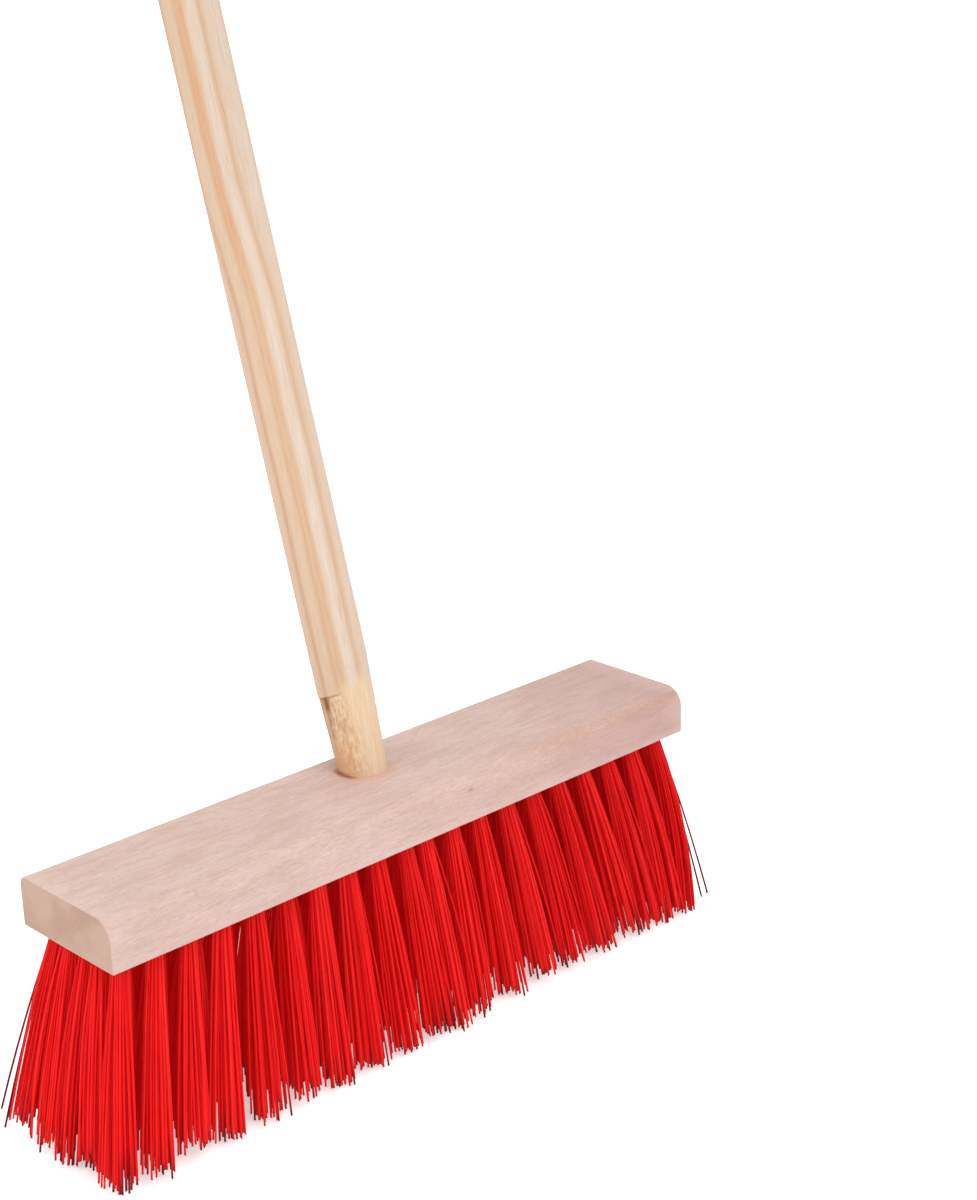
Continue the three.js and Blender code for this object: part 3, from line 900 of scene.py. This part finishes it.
def drill(ob):
    """Cuts every bristle hole and the socket out of the block."""
    verts, faces = [], []
    tufts = [t for _, _, tufts in PIECES for t in tufts]
    for rings in [hole_rings(t) for t in tufts] + [socket_rings()]:
        new_verts, new_faces = ring_prism(rings)
        first = len(verts)
        verts.extend(new_verts)
        faces.extend(tuple(i + first for i in face) for face in new_faces)
    cutter = solid_object("cutter", verts, faces)
    boolean = ob.modifiers.new("drill", "BOOLEAN")
    boolean.operation = "DIFFERENCE"
    boolean.solver = "EXACT"
    boolean.object = cutter
    depsgraph = bpy.context.evaluated_depsgraph_get()
    drilled = bpy.data.meshes.new_from_object(ob.evaluated_get(depsgraph), depsgraph=depsgraph)
    ob.modifiers.clear()
    undrilled = ob.data
    ob.data = drilled
    drilled.name = "head_block_beech"
    bpy.data.meshes.remove(undrilled)
    bpy.data.objects.remove(cutter)


def block_attributes(me):
    """rest (place in mm), end_grain, the holes' mask for painted shade, and edge."""
    co = np.zeros(len(me.vertices) * 3, np.float32)
    me.vertices.foreach_get("co", co)
    co = co.reshape(-1, 3).astype(float) / MM
    x_out, y_out, z = np.abs(co[:, 0]), np.abs(co[:, 1]), co[:, 2]
    set_attribute(me, "rest", co)
    set_attribute(me, "end_grain", (x_out > HALF_L_MM - 0.12).astype(float))

    centres = np.array([(t.x, t.y) for _, _, tufts in PIECES for t in tufts])
    nearest = np.sqrt(((co[:, None, :2] - centres[None]) ** 2).sum(2)).min(1)
    in_hole = (nearest < 5.5) & (z > UNDER_MM + 0.5) & (z < TOP_MM - 1)
    from_foot = co - np.array(STICK_FOOT) / MM
    along = from_foot @ np.array(STICK_AXIS)
    off_axis = np.linalg.norm(from_foot - along[:, None] * np.array(STICK_AXIS), axis=1)
    in_socket = (off_axis < 13.4) & (z < TOP_MM - 2.0)
    # marks the inside of the holes and the socket for painted shade
    set_attribute(me, "bore_shade", (in_hole | in_socket).astype(float))

    # an edge is near two faces of the block, and not on an end face
    near_end = HALF_L_MM - x_out < 0.75
    near_side = np.maximum(HALF_W_MM - y_out, 0) < 1.7
    near_top_or_under = np.minimum(TOP_MM - z, z - UNDER_MM) < 1.7
    faces_near = near_end.astype(int) + near_side.astype(int) + near_top_or_under.astype(int)
    set_attribute(me, "edge", (faces_near >= 2).astype(float) * (x_out < HALF_L_MM - 0.12))


def build_block():
    ob = block_solid()
    drill(ob)
    me = ob.data
    me.polygons.foreach_set("use_smooth", [True] * len(me.polygons))
    me.set_sharp_from_angle(angle=math.radians(38))
    block_attributes(me)
    me.materials.clear()
    me.materials.append(BEECH)
    return ob


# ---------------------------------------------------------------- stick
STICK_SIDES = 128


def stick_levels():
    """Places of the rings along the axis, below the rounded top end."""
    return [
        *np.linspace(-SOCKET, 0, 6),
        *np.linspace(0.5 * MM, TAPER_L - 0.5 * MM, 60),
        *(TAPER_L + (-0.3 + 0.25 * k) * MM for k in range(15)),      # across the shoulder
        *np.linspace(TAPER_L + 4.2 * MM, TAPER_L + 30 * MM, 22),
        *np.linspace(0.072, STICK_END - CAP_R, 60),
    ]


def stick_surface(s, a, lobes, roughness):
    """Radius, turned, torn and shade at one point of the stick."""
    at_shoulder_side = smooth_step(math.cos(a - SHOULDER_SIDE), 0.30, 0.70)
    # the shoulder climbs as it goes round, away from TURN_SIDE
    away = abs((a - TURN_SIDE + math.pi) % (2 * math.pi) - math.pi)
    shoulder = TAPER_L + 2.0 * MM * (1 - math.cos(min(1.6, away)))
    step = smooth_step(s, shoulder - 0.2 * MM, shoulder + 0.5 * MM)
    # a small step at the shoulder; elsewhere the cone runs out into the stick
    free = min(cone_radius(s, a), STICK_R)
    radius = free * (1 - at_shoulder_side * step) + STICK_R * at_shoulder_side * step

    is_turned = smooth_step(STICK_R - radius, 0.02 * MM, 0.25 * MM)
    torn = 0.0
    if 0 < s < TAPER_L + 1 * MM:
        torn = round_peak(a, TORN_SIDE + 0.10 + (TAPER_L - s) * 12, 0.44)
    lobe = sum(size * math.sin(k * a + phase + s * 40) for phase, size, k in lobes)
    weight = 1.0 if s > 1.5 * MM else 0.15
    radius += is_turned * weight * (lobe * 0.6 + roughness * (0.02 + 0.065 * torn)) * MM
    waves = 0.025 * math.sin(3 * a + s * 2.1) + 0.02 * math.sin(5 * a - s * 3.3 + 1.0)
    radius += (1 - is_turned) * waves * MM

    # a gouge under the shoulder, on the -X side
    gouge = 0.0
    if s < shoulder:
        depth = 0.30 * smooth_step(s, TAPER_L - 24 * MM, TAPER_L - 8 * MM)
        depth += 0.70 * smooth_step(s, TAPER_L - 9 * MM, TAPER_L - 3 * MM)
        gouge = round_peak(a, math.radians(180), 0.17) * depth
    radius -= 0.32 * MM * gouge

    # the bare wood ends raggedly, a little above the shoulder
    bare = TAPER_L + (2.0 + 2.5 * math.sin(3 * a + 0.6) * math.sin(7 * a)) * MM
    turned = is_turned * (1 - smooth_step(s, bare - 2 * MM, bare + 8 * MM))

    # painted shade under the shoulder and at the socket's mouth, where the gap is; dark in the
    # gouge
    shade = min(1.0, 1.25 * gouge)
    if shoulder - 0.9 * MM < s < shoulder + 0.15 * MM:
        shade = max(shade, 0.46 * at_shoulder_side)
    if s < 0.9 * MM + MOUTH_R * math.sin(a) * math.sin(TILT):
        shade = max(shade, 0.30 * round_peak(a, math.radians(178), 0.6))
    return radius, turned, torn, shade


def build_stick():
    rng = np.random.default_rng(23)
    angles = [2 * math.pi * i / STICK_SIDES for i in range(STICK_SIDES)]
    levels = stick_levels()
    # slow lobes (phase, size in mm, count round the stick) and tool chatter on the taper
    lobes = [(rng.uniform(0, 6.28), rng.uniform(0.02, 0.05), k) for k in (2, 3, 4, 5)]
    chatter = rng.normal(0, 1, (len(levels), STICK_SIDES))
    for _ in range(2):
        chatter = (chatter + np.roll(chatter, 1, 1) + np.roll(chatter, -1, 1)) / 3
    chatter[1:-1] = (chatter[:-2] + 2 * chatter[1:-1] + chatter[2:]) / 4
    chatter = chatter / chatter.std()

    # each ring: its place, and one (radius, turned, torn, shade) for each angle
    sampled = [
        (s, [stick_surface(s, a, lobes, chatter[j, i]) for i, a in enumerate(angles)])
        for j, s in enumerate(levels)
    ]
    top_end = [
        (STICK_END - CAP_R + CAP_R * math.sin(a), STICK_R - CAP_R + CAP_R * math.cos(a))
        for a in np.linspace(0, math.pi / 2, 10)[1:-1]
    ] + [(STICK_END, 3.0 * MM)]
    sampled += [(s, [(radius, 0.3, 0.0, 0.0)] * STICK_SIDES) for s, radius in top_end]

    rings, rest = [], []
    for s, samples in sampled:
        ring = []
        for a, (radius, *_) in zip(angles, samples):
            ring.append(tuple(stick_point(s, radius, a)))
            rest.append((radius / MM * math.cos(a), radius / MM * math.sin(a), s / MM))
        rings.append(ring)
    ob = solid_object("stick_pine", *ring_prism(rings))
    me = ob.data
    me.set_sharp_from_angle(angle=math.radians(50))
    _, turned, torn, shade = zip(*(sample for _, samples in sampled for sample in samples))
    set_attribute(me, "rest", rest)
    set_attribute(me, "turned", turned)
    set_attribute(me, "shade", shade)
    set_attribute(me, "torn", torn)
    me.materials.append(PINE)
    return ob


# ---------------------------------------------------------------- filaments, in mm
SIDES = 6
SIDE_ANGLES = np.arange(SIDES) * 2 * math.pi / SIDES
# places along a filament: 0 at the underside, 1 at the tip; the first is in the hole
STATIONS = np.array([-0.05, 0.0, 0.07, 0.18, 0.32, 0.47, 0.63, 0.80, 0.93, 0.985, 1.0])
PACK_R = 3.42                # radius that a tuft's filaments fill at the hole
ROOT_UP = 6.0                # height of the roots above the underside

# filaments sprung out at the two ends of the brush: (x, y, z) of each tip
SPRUNG = {
    "back_tuft_01": [(-191.5, 56.5, 0.0), (-198.5, 42.5, -0.5)],
    "front_tuft_20": [(200.0, -38.0, -0.5), (194.5, -38.5, -0.5)],
}
# how far along X a tuft's tips stand from its drilled direction; front tufts 1 to 20
FRONT_AIM = [
    -1.0, 0.3, 1.4, -1.3, 1.5, 3.4, 3.7, 2.8, 5.4, 4.8,
    2.3, -1.6, 4.2, 4.8, 4.6, 4.8, 3.1, 0.6, -3.6, -11.5,
]
AIM = {f"front_tuft_{i:02d}": aim for i, aim in enumerate(FRONT_AIM, 1)}
AIM.update({"back_tuft_10": 2.4, "back_tuft_11": -2.4})
# extra bow towards +X
BOW = {"front_tuft_19": 5.0, "front_tuft_20": 16.0}

# darkening of the last stations: every filament, proud ones and sprung ones
CUT_PLAIN = [0.12, 0.55]
CUT_PROUD = [0.45, 0.85, 1.0]
CUT_SPRUNG = [0.45, 0.7, 0.8, 0.88, 0.95, 1.0, 1.0]


def packed(n, radius, rng):
    """n points spread over a disc in a sunflower pattern, slightly disturbed."""
    k = np.arange(n) + 0.5
    r = radius * np.sqrt(k / n)
    a = k * 2.399963 + rng.uniform(0, 6.28)
    points = np.stack([r * np.cos(a), r * np.sin(a)], 1)
    return points + rng.normal(0, radius * 0.03, points.shape)


def plan_tuft(name, t, inner, rng):
    """Draws what the filaments of one tuft share."""
    at_end = at_row_end(t.x)
    count = int(rng.integers(46, 52)) + (12 if at_end else 4 if inner else 0)
    roots = packed(count, PACK_R, rng)
    fan = rng.uniform(0.98, 1.12)              # how far this tuft has opened
    # a tuft rarely points quite where it was drilled to
    shift = np.clip(rng.normal(0, (1.3, 1.3)), -2.8, 2.8)
    if t.straight:
        shift = shift * 0.2
    if at_end:
        shift = shift * 0.3
    if name in AIM:
        shift = np.array([AIM[name], shift[1] * 0.5])
    trim_off = np.clip(rng.normal(-0.2, 1.9), -4.2, 2.2)
    tone = rng.normal(0, 0.10)
    clumps = [rng.normal(0, 0.5, 2) for _ in range(5)]
    centre = np.array([t.x, t.y])
    return SimpleNamespace(
        at_end=at_end, roots=roots, trim_off=trim_off, tone=tone, clumps=clumps, centre=centre,
        lean=np.array([t.tip_x, t.tip_y]) + shift - centre,
        half=np.array([t.half_x * fan, t.half_y * (1.16 if at_end else fan)]),
        in_hole=drill_slope(t) * ROOT_UP,
        opening=1.70 if inner else 0.42,       # how early the filaments spring apart
        bow=BOW.get(name, 0.0),
    )


def tip_offset(root, plan, rng):
    """Place of a filament within its tuft at the tips; 1 is the tuft's edge."""
    stray = rng.random() < 0.05 and not plan.at_end
    off = root / PACK_R + rng.normal(0, 0.40 if stray else 0.13, 2)
    # filaments lean together in small clumps towards their tips
    clump = plan.clumps[int(rng.integers(0, 5))]
    off = off + (clump - off) * 0.18
    distance = np.linalg.norm(off)
    limit = 1.38 if stray else 1.0 if plan.at_end else 1.10
    if distance > limit:
        off *= limit / distance
    return off


def make_filament(plan, root_off, sprung_tip, rng):
    """Points of one tube, its tone and its cut darkening."""
    sprung = sprung_tip is not None
    off = tip_offset(root_off, plan, rng)
    root = plan.centre + root_off
    lean, spread = plan.lean, off * plan.half - root_off
    slope = np.linalg.norm(lean + spread) / UNDER_MM
    # trimmed to one length, so a filament that leans further ends higher
    ripple = 1.1 * math.sin(off[0] * 3.0 + plan.tone * 30)
    length = UNDER_MM + 0.8 + plan.trim_off + ripple + rng.normal(0, 1.2)
    proud = rng.random() < 0.16
    if proud:
        length += rng.uniform(1.4, 3.8)
    if rng.random() < 0.06:
        length -= rng.uniform(2.0, 9.0)
    drop = min(length * math.cos(math.atan(slope)), UNDER_MM + 3.4)
    radius = rng.uniform(0.48, 0.56)
    bow = rng.normal(0, (1.0, 1.0)) * (0.5 if plan.at_end else 1.0)
    bow[0] += plan.bow
    kink = rng.normal(0, 0.5, 2)
    if sprung:
        lean, spread = np.array(sprung_tip[:2]) - root, np.zeros(2)
        drop = UNDER_MM - sprung_tip[2]
        radius = 0.52
        bow = rng.normal(0, 0.3, 2)
        kink = kink * 0.4
    phase = rng.uniform(0, 6.28)

    s = STATIONS[1:, None]
    bend = s * (1 - s)
    wave = np.sin(s * 7.0 + phase) * bend
    below = root + lean * (s + 0.14 * bend) + spread * (s + plan.opening * bend)
    below = below + bow * bend + kink * wave
    in_hole = root + plan.in_hole + (plan.centre - root) * 0.1
    heights = [UNDER_MM + ROOT_UP, *(UNDER_MM - drop * STATIONS[1:])]
    points = tube(np.column_stack([np.vstack([in_hole, below]), heights]), radius)
    # a slightly slanted cut at the tip
    slant = rng.normal(0, 0.25, 2)
    points[-1, :, 2] += np.cos(SIDE_ANGLES) * slant[0] + np.sin(SIDE_ANGLES) * slant[1]

    tone = min(1.0, max(0.0, rng.normal(0.5, 0.22) + plan.tone))
    cut = np.zeros((len(STATIONS), SIDES))
    for values, applies in ((CUT_PLAIN, True), (CUT_PROUD, proud), (CUT_SPRUNG, sprung)):
        if applies:
            cut[-len(values):] = np.array(values)[:, None]
    return points.reshape(-1, 3), tone, cut.ravel()


def tube(path, radius):
    """Rings of points round a path, square to it."""
    tangent = np.gradient(path, axis=0)
    tangent /= np.linalg.norm(tangent, axis=1)[:, None]
    side_1 = np.cross(tangent, np.array([0.0, 1.0, 0.0]))
    side_1 /= np.linalg.norm(side_1, axis=1)[:, None]
    side_2 = np.cross(tangent, side_1)
    cosines = np.cos(SIDE_ANGLES)[None, :, None]
    sines = np.sin(SIDE_ANGLES)[None, :, None]
    return path[:, None, :] + radius * (cosines * side_1[:, None, :] + sines * side_2[:, None, :])


def tube_faces(first):
    """Faces of one closed tube whose points start at index first."""
    j, k = np.meshgrid(np.arange(len(STATIONS) - 1), np.arange(SIDES), indexing="ij")
    a = j * SIDES + k
    b = j * SIDES + (k + 1) % SIDES
    quads = np.stack([a, a + SIDES, b + SIDES, b], -1).reshape(-1, 4) + first
    last = first + (len(STATIONS) - 1) * SIDES
    start_cap = tuple(first + i for i in range(SIDES))
    end_cap = tuple(last + i for i in reversed(range(SIDES)))
    return [*map(tuple, quads.tolist()), start_cap, end_cap]


def filament_piece(name, row, tufts, seed):
    rng = np.random.default_rng(seed)
    filaments = []
    for t in tufts:
        plan = plan_tuft(name, t, row in (2, 3, 4), rng)
        starts = [(root, None) for root in plan.roots]
        for tip in SPRUNG.get(name, []):
            side_y = 0.5 if tip[1] > t.y else -0.5
            starts.append((3.0 * np.array([math.copysign(0.8, t.x), side_y]), tip))
        filaments += [make_filament(plan, root, tip, rng) for root, tip in starts]

    points, tones, cuts = zip(*filaments)
    points = np.concatenate(points)
    per_tube = len(STATIONS) * SIDES
    faces = [face for i in range(len(filaments)) for face in tube_faces(i * per_tube)]
    ob = mesh_object(name + "_filaments", points * MM, faces, smooth=[len(f) == 4 for f in faces])
    me = ob.data
    along = np.repeat(np.clip(STATIONS, 0, 1), SIDES)
    set_attribute(me, "rest", points)
    set_attribute(me, "fil", np.repeat(tones, per_tube))
    set_attribute(me, "along", np.tile(along, len(filaments)))
    set_attribute(me, "cut", np.concatenate(cuts))
    me.materials.append(RED)
    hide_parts(name)
    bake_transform(ob)


# ---------------------------------------------------------------- build the pieces
block = build_block()
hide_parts("head_block")
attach(block, "head")

stick = build_stick()
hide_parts("handle")
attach(stick, "stick")

for number, (name, row, tufts) in enumerate(PIECES):
    filament_piece(name, row, tufts, seed=1000 + number * 7)


# ---------------------------------------------------------------- stage
FLOOR_HALF = 30
FLOOR_GAP = 0.0004                # below the lowest tip


def floor_material():
    m = Mat("pale_floor")
    place = m.node("ShaderNodeTexCoord").outputs["Object"]
    cloud = m.noise(place, freq=(3, 3, 3), detail=2.0)
    col = m.mix(cloud, (0.73, 0.73, 0.73), (0.75, 0.75, 0.75))
    m.surface(col, roughness=0.9, specular=0.1)
    m.glow((1, 1, 1, 1), strength=0.45)
    # clear from beneath, so that the underside of the brush can be seen
    backfacing = m.node("ShaderNodeNewGeometry").outputs["Backfacing"]
    m.mixed_surface(factor=backfacing, shader=m.node("ShaderNodeBsdfTransparent"))
    return m.material


def build_floor():
    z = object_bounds()[0].z - FLOOR_GAP
    corners = [(x * FLOOR_HALF, y * FLOOR_HALF, z) for x, y in ((-1, -1), (1, -1), (1, 1), (-1, 1))]
    floor = mesh_object("floor", corners, [(0, 1, 2, 3)], smooth=False)
    floor.data.materials.append(floor_material())


def build_world():
    world = bpy.data.worlds.new("studio")
    bpy.context.scene.world = world
    world.use_nodes = True
    background = world.node_tree.nodes.get("Background")
    background.inputs["Color"].default_value = (1.0, 1.0, 1.0, 1.0)
    background.inputs["Strength"].default_value = 1.16


def soft_sun(name, towards, strength, angle):
    """A large, far light; towards points from the object to it, angle is in degrees."""
    data = bpy.data.lights.new(name, "SUN")
    data.energy = strength
    data.angle = math.radians(angle)
    data.color = (1, 1, 1)
    ob = bpy.data.objects.new(name, data)
    bpy.context.scene.collection.objects.link(ob)
    ob.rotation_mode = "QUATERNION"
    ob.rotation_quaternion = (-Vector(towards)).to_track_quat("-Z", "Y")


def build_camera():
    """Looks down at the head from the front left."""
    right = Vector((0.718538, -0.695013, -0.025689))
    up = Vector((0.247086, 0.220574, 0.943555))
    forward = Vector((0.650117, 0.684327, -0.330219))
    data = bpy.data.cameras.new("camera")
    data.sensor_fit = "AUTO"
    data.sensor_width = 36.0      # mm
    data.lens = 66.645461449      # mm
    data.clip_start, data.clip_end = 0.02, 100.0
    camera = bpy.data.objects.new("camera", data)
    bpy.context.scene.collection.objects.link(camera)
    camera.location = Vector((-0.64223, -0.75606, 0.43428 + TOP))
    camera.rotation_mode = "QUATERNION"
    camera.rotation_quaternion = Matrix((right, up, -forward)).transposed().to_quaternion()
    bpy.context.scene.camera = camera


build_floor()
build_world()
soft_sun("key", towards=(0.02, -0.64, 0.74), strength=1.30, angle=50)
soft_sun("fill", towards=(-0.80, 0.35, 0.48), strength=0.75, angle=60)
build_camera()

view = bpy.context.scene.view_settings
view.view_transform = "Standard"
view.look = "None"
view.exposure = 0.0
view.gamma = 1.0
